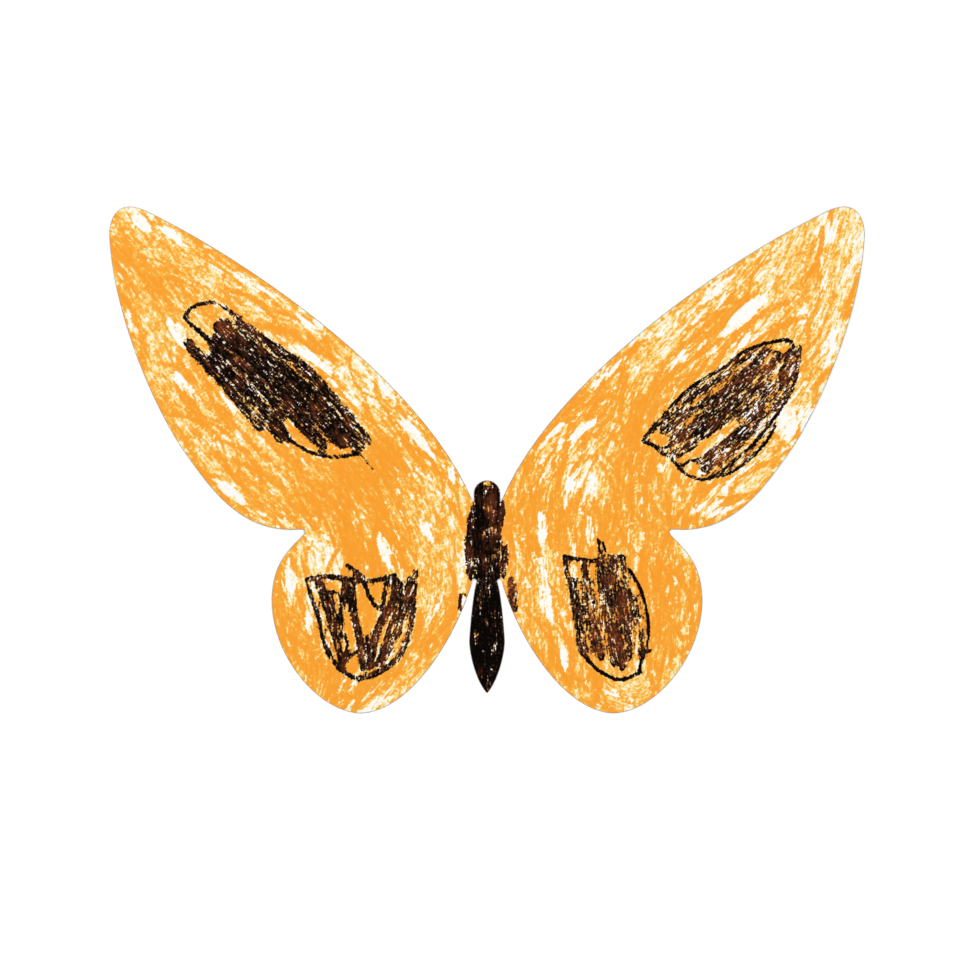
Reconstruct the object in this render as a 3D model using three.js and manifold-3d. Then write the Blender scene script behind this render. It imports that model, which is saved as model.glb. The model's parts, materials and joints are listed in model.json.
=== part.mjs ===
// A butterfly cut from one sheet of white card and coloured on its upper face with wax crayons.
//
// Millimetres. The card lies flat: X runs across the wings, +Y points to the head, +Z is up. The origin is
// the middle of the thorax, on the card's underside. Each wing folds up about a crease beside the thorax,
// so the card is three panels, and every coat of wax is a thin skin of its own on the panel that carries it.

import * as THREE from 'three';
import { mergeVertices } from 'three/addons/utils/BufferGeometryUtils.js';
import Module from 'manifold-3d';

const wasm = await Module();
wasm.setup();

// Driving dimensions.
const SPAN = 250;
const CARD_THICKNESS = 0.4;
const WAX_THICKNESS = 0.1;
const CREASE_X = 4.5;
const CREASE_GAP = 0.3;
const WAX_FREE_WIDTH = 0.9;

// Heights of the layers, from the underside up.
const ORANGE_Z = CARD_THICKNESS;
const DARK_Z = ORANGE_Z + WAX_THICKNESS;

// Where the panels end beside a crease.
const BODY_EDGE_X = CREASE_X - CREASE_GAP / 2;
const WING_EDGE_X = CREASE_X + CREASE_GAP / 2;

// Ends of each crease, at the root of the forewing and of the hindwing.
const CREASE_TOP_Y = 13;
const CREASE_BOTTOM_Y = -12.3;

// The body: a round head on a straight thorax, and a spindle-shaped abdomen.
const HEAD_RADIUS = 4.35;
const HEAD_TOP_Y = 20.2;
const WAIST_HALF_WIDTH = 3.3;
const WAIST_Y = -13.1;
const ABDOMEN_HALF_WIDTH = 5.8;
const ABDOMEN_WIDEST_Y = -31.6;
const ABDOMEN_TIP_Y = -50.3;

// Fineness of curves: pieces of each outline curve, length of a step along a stroke, sides of its round end.
const OUTLINE_SEGMENTS = 22;
const STROKE_STEP = 2.2;
const END_SIDES = 5;

const TIP_X = SPAN / 2;

// The right wing's edge from the top of the crease, each curve as two handles and its end.
const WING_EDGE = [
  [[20, 51.2], [75.6, 91.4], [112.7, 109.4]], // leading edge
  [[124.7, 114.9], [TIP_X, 103.1], [TIP_X, 101.5]], // rounded tip
  [[124, 78.6], [113.2, 50.4], [101.8, 32]], // outer edge
  [[92, 18.1], [82.2, 2.5], [62, 4]], // lower edge of the forewing
  [[60, 4.2], [60, 3], [61.2, 1.8]], // notch between forewing and hindwing
  [[66.4, -3.5], [70.9, -7.5], [71.3, -19.2]], // shoulder of the hindwing
  [[71.3, -38.7], [55.1, -56.9], [41.5, -56.9]], // lobe of the hindwing
  [[24.2, -55.7], [9.3, -29.8], [WING_EDGE_X, CREASE_BOTTOM_Y]], // inner edge
];

// Streaks of bare card between the orange strokes: both ends, then the width in the middle.
const LEFT_BARE_STREAKS = [
  [[-118, 108.5], [-111, 102], 3.2],
  [[-109, 105], [-98, 97], 2.4],
  [[-86, 90], [-68, 79.5], 2],
  [[-65, 77], [-53, 66], 1.9],
  [[-106, 75], [-99, 63.5], 4],
  [[-105, 57], [-93, 45], 3],
  [[-64, 66], [-50, 54], 2.6],
  [[-91, 21], [-79, 11.5], 3.6],
  [[-44.5, 62], [-18, 34], 1.2],
  [[-30, 43], [-16, 26.5], 3.6],
  [[-12.6, 25.5], [-11.2, 18.2], 2.4],
  [[-49.2, 51.3], [-40.8, 42.7], 1.4],
  [[-89.5, 50.5], [-82.5, 41.5], 1.8],
  [[-119.2, 78.8], [-116.8, 67.2], 1.4],
  [[-19.4, -27.7], [-12.6, -14.3], 1.2],
  [[-24, 9], [-18, -1], 2.2],
  [[-36, 4], [-32, -10], 3.4],
  [[-65.5, -8], [-64.5, -18], 3.2],
  [[-59.5, -22], [-58.5, -32], 2.2],
];
const RIGHT_BARE_STREAKS = [
  [[112.5, 98], [115.5, 108], 3.6],
  [[120, 84], [110.5, 53], 4.6],
  [[119.6, 91], [122, 100.4], 2],
  [[109.8, 80.2], [114.2, 89.8], 3],
  [[94, 83], [76, 67], 4.2],
  [[82, 88.5], [69, 77.5], 2.4],
  [[66.4, 70.6], [73.4, 77.2], 1.4],
  [[81.8, 62.4], [88, 70.2], 1.7],
  [[59, 55.6], [67, 64.4], 1.3],
  [[47, 62], [31, 47.5], 2],
  [[18.8, 33.6], [26.4, 39.6], 2],
  [[105, 44], [98, 32.5], 2.6],
  [[91, 28], [75, 14], 1.7],
  [[71.5, 7.4], [82, 12.2], 1.8],
  [[65.6, 8], [74.4, 14], 1.5],
  [[56.6, 22.6], [59, 26.4], 3],
  [[37, 41], [26, 33], 2.2],
  [[26, 15.8], [28, 22.2], 2.6],
  [[17.5, 11], [18.5, -3], 3.6],
  [[33.5, 9], [34.5, -3], 2.6],
  [[17, -7], [21.5, -29], 3.4],
  [[26, -35], [26, -43.5], 2.7],
  [[37.2, -49.2], [44.8, -50.8], 2],
];

// Places where the orange shows through the body's black coat, in the same form.
const BODY_BARE_STREAKS = [
  [[-1.2, 19.3], [1.6, 18.9], 1.2],
  [[-4, -3.6], [-3.7, -8.4], 0.8],
  [[-3.9, -28.5], [-3.2, -35], 1.1],
  [[3, -32.5], [2.2, -39], 1],
];

// The dark spots, each as a family of crayon strokes: the points that a stroke runs through, then its width.
const LEFT_FOREWING_STROKES = [
  [[[-90, 61.5], [-91.3, 65.5], [-94.5, 68.8], [-98, 71.8], [-100.1, 74.2]], 1.5],
  [[[-100.1, 74.2], [-98.8, 76.7], [-95, 78.6], [-90.8, 79.1], [-86.5, 77.4], [-81.5, 73.8]], 1.3],
  [[[-89.5, 69.5], [-90, 72], [-87.5, 73.6], [-84.8, 72.2]], 1.3],
  [[[-82, 72.4], [-75, 67.4], [-68, 62.7], [-60.9, 58.2], [-55, 51.9], [-46.6, 42.2], [-39.6, 33]], 3],
  [[[-88.5, 71.2], [-81, 66.9], [-73.5, 61.3], [-64.5, 54.8], [-58, 48.8], [-50.5, 40.6], [-43, 32.8]], 3.8],
  [[[-88.5, 66.8], [-82.5, 64], [-75.5, 58.4], [-68.5, 52], [-61.5, 45.8], [-54.5, 39], [-48, 32.4]], 3.6],
  [[[-75, 56.6], [-69, 50.6], [-64.5, 44.8], [-60, 39.8], [-54.5, 32.4]], 3],
  [[[-67, 44.6], [-63, 39], [-58, 34.2], [-53.6, 31.4]], 1.9],
  [[[-91, 66], [-87, 62.2], [-82.5, 58.8], [-77.5, 53.8], [-72.5, 48], [-68, 41.8]], 2.4],
  [[[-90.5, 60.8], [-84.8, 55.2], [-78.8, 49.1], [-73.2, 42.6], [-68.2, 34]], 3.4],
  [[[-98.8, 65.8], [-95.6, 61.2], [-90.4, 56.2], [-85.4, 50.6], [-80.5, 44.4], [-75, 37.8]], 3.2],
  [[[-75, 45], [-71, 40.2], [-66.8, 35.6]], 3],
  [[[-67.5, 35.4], [-62.5, 31.7], [-57, 29], [-50, 27.9], [-44.3, 28.8], [-41.2, 31.6]], 1.2],
  [[[-42.6, 29.4], [-40.2, 26.9], [-36.8, 22.8]], 0.8],
];
const RIGHT_FOREWING_STROKES = [
  [[[51.5, 33], [54.2, 37], [59, 41.9], [63.5, 47.4], [70, 52.7], [79.5, 58.1]], 1.3],
  [[[79.5, 58.1], [84, 62.2], [91, 65.2], [99, 66.9]], 1.3],
  [[[99, 66.9], [101.3, 65.8], [101.5, 62]], 1],
  [[[103.7, 64.6], [103.1, 59.5], [101.9, 53], [98.6, 46.2], [90.2, 34.4], [82, 26.9], [75, 21.4]], 1.3],
  [[[75, 21.4], [71, 20.4], [66.4, 22], [63.9, 24.2], [60.2, 28.5]], 1.2],
  [[[95.4, 38.2], [92, 32.4], [85.2, 25.8], [79.5, 22.4], [75, 21.4]], 1.1],
  [[[51.5, 33], [55, 32.1], [57.6, 29.4], [60.2, 28.5]], 1.4],
  [[[60.2, 28.6], [65.6, 31.4], [70.4, 34], [76, 37.4], [82, 42]], 1.5],
  [[[57, 30.6], [60.6, 31.6], [61.6, 33.6]], 1.2],
  [[[63.6, 24.2], [67, 26.6], [71.5, 27.4]], 1.2],
  [[[61.6, 28.4], [65.4, 29.4], [69.4, 31.6]], 1],
  [[[61.4, 32.8], [66.6, 34.4], [72, 37.4], [76.6, 39.4]], 1.8],
  [[[56, 37.6], [61.5, 41.8], [66.8, 47], [73, 51.4], [78.6, 55], [83, 59], [87, 61.6]], 1.8],
  [[[58.6, 36.6], [65.4, 41.8], [72, 45.6], [78.5, 49.4], [85, 55.1], [92.6, 62.8]], 3],
  [[[61.5, 33.6], [67, 37.2], [73, 41.2], [79, 46.4], [84.5, 51.8], [91, 58.6]], 3.2],
  [[[76, 40.4], [81, 44.8], [86.5, 48.2], [91.5, 53.6], [96, 61.8]], 3],
  [[[82.5, 42], [88, 45.2], [92, 49.4], [93.8, 52.4]], 2.4],
  [[[85.5, 40.8], [91, 44.6], [96, 50.4], [98.6, 56.4], [100.4, 62.4]], 2.8],
  [[[95.2, 44], [98.4, 50.2], [100.6, 56.4], [101.6, 61.6]], 2.4],
  [[[70.8, 26.6], [75, 29.4], [80, 33.2], [84.5, 37.4], [89, 42.4]], 3],
  [[[72, 23.9], [76.5, 26.1], [81.5, 30.2], [86.5, 35.4], [91.6, 42.2]], 2.6],
];
const LEFT_HINDWING_STROKES = [
  [[[-59.6, -12.7], [-54, -11.6], [-48, -12.2], [-42, -13], [-36, -12.8], [-30.4, -11.3]], 1.8],
  [[[-46.2, -7.9], [-44, -9.6], [-40, -12.6]], 1.6],
  [[[-59.4, -13], [-58.3, -18], [-56.1, -24], [-54.6, -31],
    [-52.6, -36.6], [-48.6, -42.4], [-43, -45.6]], 1.6],
  [[[-43, -45.5], [-37.2, -43.9], [-31.2, -40.2], [-27.2, -34.6],
    [-24.9, -26], [-24.3, -17], [-23.6, -10]], 2],
  [[[-56.2, -12.6], [-55, -17], [-52.9, -22.6], [-50.9, -29], [-49.2, -35], [-47.7, -41.6]], 2.4],
  [[[-54.4, -14], [-53, -18.6], [-51.2, -23]], 1.6],
  [[[-52.6, -16.8], [-50.2, -16.6], [-48.4, -18.8]], 1.1],
  [[[-51.8, -17.4], [-51.2, -21.4], [-50.2, -26.6]], 1.8],
  [[[-47, -12.8], [-47.5, -18.5], [-48.5, -25], [-49, -31.5]], 2.3],
  [[[-45.9, -13.4], [-45.5, -19.6], [-43.8, -27], [-42.3, -34], [-41.2, -42.2]], 1.9],
  [[[-43.8, -9.8], [-43.9, -19], [-43.2, -25.4], [-41.8, -31.6], [-40.2, -38]], 1.4],
  [[[-47.6, -30.6], [-46.4, -34], [-46.8, -39.4]], 1.5],
  [[[-47.2, -39.8], [-44.6, -37.4], [-41.6, -35.4]], 1.3],
  [[[-40.8, -13.2], [-39, -18], [-37.2, -21.2], [-34.2, -22.4]], 1.5],
  [[[-33, -12.6], [-34, -17.4], [-34.8, -22.4]], 1.6],
  [[[-30, -13.4], [-31.4, -20.4], [-34.8, -26], [-37.2, -32.6], [-38.8, -41.2]], 2.9],
  [[[-28.6, -14], [-29.6, -21.4], [-32.6, -30], [-36.4, -40.8]], 2],
  [[[-30.4, -12], [-29.2, -14.4]], 1.4],
  [[[-25.3, -12.4], [-27, -19.4], [-29.6, -27.4], [-32.6, -36], [-35.4, -40.4]], 2.4],
  [[[-24.6, -15], [-26, -21.6], [-29.6, -31.4]], 1.8],
  [[[-40, -32.8], [-39.6, -37.4], [-40, -41.6]], 2.9],
];
const RIGHT_HINDWING_STROKES = [
  [[[25.6, -5], [31, -6], [35.4, -6.5], [40, -5], [45, -5]], 1.5],
  [[[36.8, 0.6], [37.4, -2.6], [38.4, -6.4]], 1.2],
  [[[38.3, -0.2], [39.2, -3.4], [39.8, -6.4]], 0.9],
  [[[25.8, -5.2], [26.3, -9.6], [27.6, -14]], 1.7],
  [[[27.4, -13.2], [32.4, -13.6]], 1.1],
  [[[28, -13.4], [29.3, -19], [30.2, -25], [31, -30.6], [31.9, -36.4]], 3.4],
  [[[31.6, -36], [34.2, -40.2], [38.6, -43.7], [44.4, -45.8], [50.9, -43.2]], 1.4],
  [[[46.9, -9.1], [50.2, -14.2], [52.4, -21], [53.5, -28], [52.9, -34.4], [51.2, -39.4], [50.3, -43]], 1.2],
  [[[51.8, -37], [54, -36]], 1.3],
  [[[32.2, -8], [32.4, -14.4], [32.6, -21], [34.2, -30], [35.4, -36]], 2.2],
  [[[33.8, -13.2], [35, -20.4], [36.2, -29], [37.8, -38.6]], 2.2],
  [[[37.2, -7.6], [37.8, -15], [38.4, -22], [39.4, -29.4]], 2.2],
  [[[39.4, -6.4], [40, -14], [41, -24], [41.2, -32], [42.2, -40.4]], 2.6],
  [[[42, -6.4], [42.8, -15], [43.6, -25], [43.8, -34], [44.8, -41.8]], 2.5],
  [[[45, -5.6], [45.4, -13], [47, -19]], 1.9],
  [[[44.8, -16], [45.8, -24], [46.2, -32], [46.4, -39]], 2.3],
  [[[46.8, -16.4], [48.6, -21.6], [49.6, -27.6]], 2],
  [[[48.4, -20], [47.4, -28], [47.6, -38.2]], 1.4],
  [[[48.9, -19.4], [50, -25], [51.2, -31], [51, -36.8]], 1.8],
];

// The black that runs over the thorax onto a wing: its outer edge, from the top of the crease down.
const LEFT_OVERRUN = [[-5.2, 12.4], [-6, 8.6], [-6.8, 4], [-7.2, -2], [-7.1, -8], [-5.6, -13.2]];
const RIGHT_UPPER_OVERRUN = [[5.5, 14], [6, 11], [5.8, 7.6], [5.3, 5], [WING_EDGE_X + 0.1, 3]];
const RIGHT_LOWER_OVERRUN = [[6.2, -1.3], [6.6, 0.5], [6.9, -3], [6.7, -8], [6.1, -12.4]];

// Two short marks further down the inner edges of the hindwings.
const LEFT_WAIST_MARK = [[[-9, -22.6], [-9, -19.4], [-8.3, -17], [-7.2, -17.6]], 1.1];
const RIGHT_WAIST_MARK = [[[8.1, -12.8], [8.4, -16], [8.5, -19.4], [8.9, -22.2]], 2.6];

const CARD = { color: 0xf6f4ee, roughness: 0.85, metalness: 0 };
const ORANGE_WAX = { color: 0xfba02e, roughness: 0.5, metalness: 0 };
const BLACK_WAX = { color: 0x16100d, roughness: 0.45, metalness: 0 };
const BROWN_WAX = { color: 0x3a2118, roughness: 0.45, metalness: 0 };

function plate(shape, thickness) {
  return new THREE.ExtrudeGeometry(shape, {
    depth: thickness,
    curveSegments: OUTLINE_SEGMENTS,
    bevelEnabled: false,
  });
}

function toSolid(geometry) {
  const bare = geometry.clone();
  bare.deleteAttribute('normal');
  bare.deleteAttribute('uv');
  const merged = mergeVertices(bare, 1e-5);
  return new wasm.Manifold(new wasm.Mesh({
    numProp: 3,
    vertProperties: new Float32Array(merged.attributes.position.array),
    triVerts: new Uint32Array(merged.index.array),
  }));
}

function toGeometry(solid) {
  const mesh = solid.getMesh();
  const indexed = new THREE.BufferGeometry();
  indexed.setAttribute('position', new THREE.BufferAttribute(mesh.vertProperties, 3));
  indexed.setIndex(new THREE.BufferAttribute(mesh.triVerts, 1));
  const geometry = indexed.toNonIndexed();
  geometry.computeVertexNormals();
  return geometry;
}

function toVectors(points) {
  return points.map(([x, y]) => new THREE.Vector2(x, y));
}

// Side is 1 for the right wing and -1 for the left one, its mirror image.
function wingShape(side) {
  const shape = new THREE.Shape();
  shape.moveTo(side * WING_EDGE_X, CREASE_TOP_Y);
  for (const [[ax, ay], [bx, by], [x, y]] of WING_EDGE) {
    shape.bezierCurveTo(side * ax, ay, side * bx, by, side * x, y);
  }
  shape.closePath();
  return shape;
}

function bodyShape() {
  const headY = HEAD_TOP_Y - HEAD_RADIUS;
  const shape = new THREE.Shape();
  shape.moveTo(BODY_EDGE_X, CREASE_BOTTOM_Y);
  shape.lineTo(BODY_EDGE_X, headY);
  shape.absarc(0, headY, HEAD_RADIUS, 0, Math.PI, false);
  shape.lineTo(-BODY_EDGE_X, CREASE_BOTTOM_Y);
  shape.lineTo(-WAIST_HALF_WIDTH, WAIST_Y);
  shape.bezierCurveTo(-4.4, -15.6, -5.4, -25.4, -ABDOMEN_HALF_WIDTH, ABDOMEN_WIDEST_Y);
  shape.bezierCurveTo(-6.3, -36, -3.9, -46, 0, ABDOMEN_TIP_Y);
  shape.bezierCurveTo(3.9, -46, 6.3, -36, ABDOMEN_HALF_WIDTH, ABDOMEN_WIDEST_Y);
  shape.bezierCurveTo(5.4, -25.4, 4.4, -15.6, WAIST_HALF_WIDTH, WAIST_Y);
  shape.closePath();
  return shape;
}

// A ribbon of one width along a smooth curve, with round ends.
function strokeShape(points, width) {
  const curve = new THREE.SplineCurve(toVectors(points));
  const steps = Math.ceil(curve.getLength() / STROKE_STEP);
  const left = [];
  const right = [];
  for (let i = 0; i <= steps; i += 1) {
    const middle = curve.getPointAt(i / steps);
    const tangent = curve.getTangentAt(i / steps);
    const across = new THREE.Vector2(-tangent.y, tangent.x).multiplyScalar(width / 2);
    left.push(middle.clone().add(across));
    right.unshift(middle.clone().sub(across));
  }
  const roundEnd = (from, centre) => {
    const ends = [];
    for (let i = 1; i < END_SIDES; i += 1) {
      ends.push(from.clone().rotateAround(centre, (-Math.PI * i) / END_SIDES));
    }
    return ends;
  };
  const last = curve.getPointAt(1);
  const first = curve.getPointAt(0);
  return new THREE.Shape([
    ...left,
    ...roundEnd(left.at(-1), last),
    ...right,
    ...roundEnd(right.at(-1), first),
  ]);
}

// A pointed streak between two ends, widest in the middle.
function streakShape([ax, ay], [bx, by], width) {
  const bulge = width * 0.75;
  const length = Math.hypot(bx - ax, by - ay);
  const nx = (-(by - ay) / length) * bulge;
  const ny = ((bx - ax) / length) * bulge;
  const shape = new THREE.Shape();
  shape.moveTo(ax, ay);
  shape.bezierCurveTo(
    ax + (bx - ax) * 0.3 + nx, ay + (by - ay) * 0.3 + ny,
    ax + (bx - ax) * 0.7 + nx, ay + (by - ay) * 0.7 + ny,
    bx, by,
  );
  shape.bezierCurveTo(
    ax + (bx - ax) * 0.7 - nx, ay + (by - ay) * 0.7 - ny,
    ax + (bx - ax) * 0.3 - nx, ay + (by - ay) * 0.3 - ny,
    ax, ay,
  );
  return shape;
}

// A coat without the narrow strips at both creases, where folding card sheds its wax.
function clearOfCreases(coat) {
  const top = CREASE_TOP_Y + WAX_FREE_WIDTH / 2;
  const bottom = CREASE_BOTTOM_Y - WAX_FREE_WIDTH;
  let cleared = coat;
  for (const x of [-CREASE_X, CREASE_X]) {
    const strip = new THREE.BoxGeometry(WAX_FREE_WIDTH, top - bottom, WAX_THICKNESS * 3);
    strip.translate(x, (top + bottom) / 2, 0);
    cleared = cleared.subtract(toSolid(strip));
  }
  return cleared;
}

// A coat of wax over a whole panel, with its bare streaks cut through.
function coatWithStreaks(shape, streaks) {
  let coat = toSolid(plate(shape, WAX_THICKNESS));
  for (const [from, to, width] of streaks) {
    const cutter = new THREE.ExtrudeGeometry(streakShape(from, to, width), {
      depth: WAX_THICKNESS * 3,
      curveSegments: 5,
      bevelEnabled: false,
    });
    cutter.translate(0, 0, -WAX_THICKNESS);
    coat = coat.subtract(toSolid(cutter));
  }
  return toGeometry(clearOfCreases(coat));
}

// A coat trimmed to the wing that carries it.
function trimToWing(coat, side) {
  const trimmed = coat.intersect(toSolid(plate(wingShape(side), WAX_THICKNESS)));
  return toGeometry(clearOfCreases(trimmed));
}

// Crayon strokes that cross and touch, joined into one skin.
function strokeCoat(strokes, side) {
  let coat = null;
  for (const [points, width] of strokes) {
    const ribbon = toSolid(plate(strokeShape(points, width), WAX_THICKNESS));
    coat = coat ? coat.add(ribbon) : ribbon;
  }
  return trimToWing(coat, side);
}

// Wax beside the thorax, between the crease and a smooth outer edge.
function overrunCoat(outerEdge, side) {
  const innerX = side * WING_EDGE_X;
  const shape = new THREE.Shape();
  shape.moveTo(innerX, outerEdge[0][1]);
  shape.lineTo(...outerEdge[0]);
  shape.splineThru(toVectors(outerEdge.slice(1)));
  shape.lineTo(innerX, outerEdge.at(-1)[1]);
  shape.closePath();
  return trimToWing(toSolid(plate(shape, WAX_THICKNESS)), side);
}

function place(group, name, geometry, finish, height) {
  const mesh = new THREE.Mesh(geometry, new THREE.MeshStandardMaterial(finish));
  mesh.name = name;
  mesh.position.z = height;
  group.add(mesh);
}

function makeBody() {
  const body = new THREE.Group();
  place(body, 'body_card', plate(bodyShape(), CARD_THICKNESS), CARD, 0);
  place(body, 'body_orange_wax', coatWithStreaks(bodyShape(), []), ORANGE_WAX, ORANGE_Z);
  place(body, 'body_black_wax', coatWithStreaks(bodyShape(), BODY_BARE_STREAKS), BLACK_WAX, DARK_Z);
  return body;
}

function makeWing(name, side, bareStreaks, forewingStrokes, hindwingStrokes) {
  const wing = new THREE.Group();
  const orange = coatWithStreaks(wingShape(side), bareStreaks);
  place(wing, `${name}_wing_card`, plate(wingShape(side), CARD_THICKNESS), CARD, 0);
  place(wing, `${name}_wing_orange_wax`, orange, ORANGE_WAX, ORANGE_Z);
  place(wing, `${name}_forewing_spot`, strokeCoat(forewingStrokes, side), BLACK_WAX, DARK_Z);
  place(wing, `${name}_hindwing_spot`, strokeCoat(hindwingStrokes, side), BLACK_WAX, DARK_Z);
  return wing;
}

function makeLeftWing() {
  const wing = makeWing('left', -1, LEFT_BARE_STREAKS, LEFT_FOREWING_STROKES, LEFT_HINDWING_STROKES);
  place(wing, 'left_thorax_overrun', overrunCoat(LEFT_OVERRUN, -1), BLACK_WAX, DARK_Z);
  place(wing, 'left_waist_mark', strokeCoat([LEFT_WAIST_MARK], -1), BROWN_WAX, DARK_Z);
  return wing;
}

function makeRightWing() {
  const wing = makeWing('right', 1, RIGHT_BARE_STREAKS, RIGHT_FOREWING_STROKES, RIGHT_HINDWING_STROKES);
  place(wing, 'right_upper_thorax_overrun', overrunCoat(RIGHT_UPPER_OVERRUN, 1), BLACK_WAX, DARK_Z);
  place(wing, 'right_lower_thorax_overrun', overrunCoat(RIGHT_LOWER_OVERRUN, 1), BLACK_WAX, DARK_Z);
  place(wing, 'right_waist_mark', strokeCoat([RIGHT_WAIST_MARK], 1), BROWN_WAX, DARK_Z);
  return wing;
}

const butterfly = new THREE.Group();
butterfly.name = 'butterfly';
butterfly.add(makeBody(), makeLeftWing(), makeRightWing());

export default butterfly;
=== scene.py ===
"""A butterfly cut from white card and coloured with wax crayons, lying on a pale studio floor.

The three panels of card, the two creases between them and every coat of wax are separate pieces. The wax
is first painted on a grid, stroke by stroke. Each coat is then a thin skin whose height and colour both
come from that paint, so a bare streak is a real opening and a heavy stroke really stands up.
Lengths are in millimetres until a mesh is made.
"""

import json
import math
from collections import namedtuple

import bpy
import numpy as np
from mathutils.geometry import delaunay_2d_cdt
from mathutils.kdtree import KDTree
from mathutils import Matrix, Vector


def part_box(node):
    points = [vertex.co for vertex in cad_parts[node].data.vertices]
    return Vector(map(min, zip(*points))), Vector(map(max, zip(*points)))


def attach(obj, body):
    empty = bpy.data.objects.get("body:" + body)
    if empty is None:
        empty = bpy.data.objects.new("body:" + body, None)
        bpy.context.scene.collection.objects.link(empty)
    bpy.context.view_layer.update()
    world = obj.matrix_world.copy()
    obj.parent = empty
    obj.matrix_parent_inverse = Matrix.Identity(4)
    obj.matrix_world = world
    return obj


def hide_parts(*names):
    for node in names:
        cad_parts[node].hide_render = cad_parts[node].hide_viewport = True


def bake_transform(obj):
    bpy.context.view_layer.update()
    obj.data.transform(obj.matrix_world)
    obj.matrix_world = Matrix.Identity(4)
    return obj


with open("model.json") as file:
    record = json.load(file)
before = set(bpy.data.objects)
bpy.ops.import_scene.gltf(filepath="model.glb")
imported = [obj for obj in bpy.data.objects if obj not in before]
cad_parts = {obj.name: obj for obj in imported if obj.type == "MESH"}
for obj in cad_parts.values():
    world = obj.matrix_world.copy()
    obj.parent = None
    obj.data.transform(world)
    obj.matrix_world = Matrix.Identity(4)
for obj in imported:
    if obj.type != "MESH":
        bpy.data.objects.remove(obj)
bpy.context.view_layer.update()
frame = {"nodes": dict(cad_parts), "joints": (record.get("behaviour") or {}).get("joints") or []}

MM = 0.001
RNG = np.random.default_rng(41)
SIDES = {"left": -1, "right": 1}

HALF_STRIP = 0.5  # how far a crease strip runs to either side of its fold line
CUT_EDGE = 0.24  # width and depth of the bevel in which the card's cut edge shows
CUT_DEPTH = 0.12
UNDER_EDGE = 0.05  # size of the small bevel round the underside
WAX_SETBACK = 0.15  # from the card's edge to the wax
SUNK = 0.1  # how deep the underside of a coat lies in the card

crease_x = abs(frame["joints"][0]["pos_m"][0]) / MM
card_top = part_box("body_card")[1].z / MM
body_side = crease_x - HALF_STRIP
wing_side = crease_x + HALF_STRIP


# ---------------------------------------------------------------------------------------------------------
# The painting grid, which is a little larger than the card all round, and fields on it.

STEP = 1 / 6
STEPS_ASIDE, STEPS_DOWN, STEPS_UP = 760, 350, 673
columns = np.arange(-STEPS_ASIDE, STEPS_ASIDE + 1) * STEP
rows = np.arange(-STEPS_DOWN, STEPS_UP + 1) * STEP
X, Y = np.meshgrid(columns, rows)
COLUMN, ROW = np.meshgrid(np.arange(len(columns)), np.arange(len(rows)))
EVERYWHERE = np.ones(X.shape)
FREQUENCY = np.hypot(
    np.fft.rfftfreq(len(columns), STEP)[None, :], np.fft.fftfreq(len(rows), STEP)[:, None]
)


def blur(field, size):
    """The field smoothed by a Gaussian of that size."""
    spectrum = np.fft.rfft2(field) * np.exp(-2 * (math.pi * size * FREQUENCY) ** 2)
    return np.fft.irfft2(spectrum, X.shape)


def even_out(field):
    """The field with mean 0 and deviation 1."""
    return (field - field.mean()) / field.std()


def noise(size):
    """A smooth random field with blots of about that size."""
    return even_out(blur(RNG.standard_normal(X.shape), size))


def drag(field, angle, length):
    """The field smeared over a length along the strokes' direction, sampled at every second grid step."""
    stride = 2
    reach = max(1, round(length / 2 / STEP / stride))
    across, up = stride * np.cos(angle), stride * np.sin(angle)
    total = np.zeros(X.shape)
    for k in range(-reach, reach + 1):
        column = np.clip(np.rint(COLUMN + k * across).astype(int), 0, len(columns) - 1)
        row = np.clip(np.rint(ROW + k * up).astype(int), 0, len(rows) - 1)
        total += field[row, column]
    return even_out(total)


def ease(field, low, high):
    """0 below low, 1 above high, and a smooth step between them."""
    t = np.clip((field - low) / (high - low), 0, 1)
    return t * t * (3 - 2 * t)


def around(x, y, radius):
    """1 at a point, and less farther away from it, as a Gaussian of that radius."""
    return np.exp(-((X - x) ** 2 + (Y - y) ** 2) / (2 * radius**2))


def soft_patches(node, patches):
    """Fields that each peak at one place. A patch is shares of the node's box, radius, amount."""
    return [amount * around(*place_in(node, u, v), radius) for u, v, radius, amount in patches]


def blend_places(places, values, reach):
    """Values given at a few places, blended over the whole grid."""
    total, weight = 0, 0
    for (x, y), value in zip(places, values):
        near = around(x, y, reach) + 1e-7
        total = total + near * value
        weight = weight + near
    return total / weight


def box_of(node):
    low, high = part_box(node)
    return (low.x / MM, low.y / MM), (high.x / MM, high.y / MM)


def place_in(node, u, v):
    """The point at shares u of the node's width, from left to right, and v of its height."""
    (x0, y0), (x1, y1) = box_of(node)
    return x0 + u * (x1 - x0), y0 + v * (y1 - y0)


def place_out(node, u, v):
    """The point at shares u of a wing node's width, from the body outwards, and v of its height."""
    low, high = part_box(node)
    root, tip = (low.x, high.x) if high.x > -low.x else (high.x, low.x)
    return (root + u * (tip - root)) / MM, (low.y + v * (high.y - low.y)) / MM


# ---------------------------------------------------------------------------------------------------------
# Outlines, read from the upper faces of the CAD nodes.


def area(loop):
    """The area inside a loop, below 0 when it runs clockwise."""
    after = np.roll(loop, -1, axis=0)
    return ((loop[:, 0] * after[:, 1] - after[:, 0] * loop[:, 1]) / 2).sum()


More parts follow.
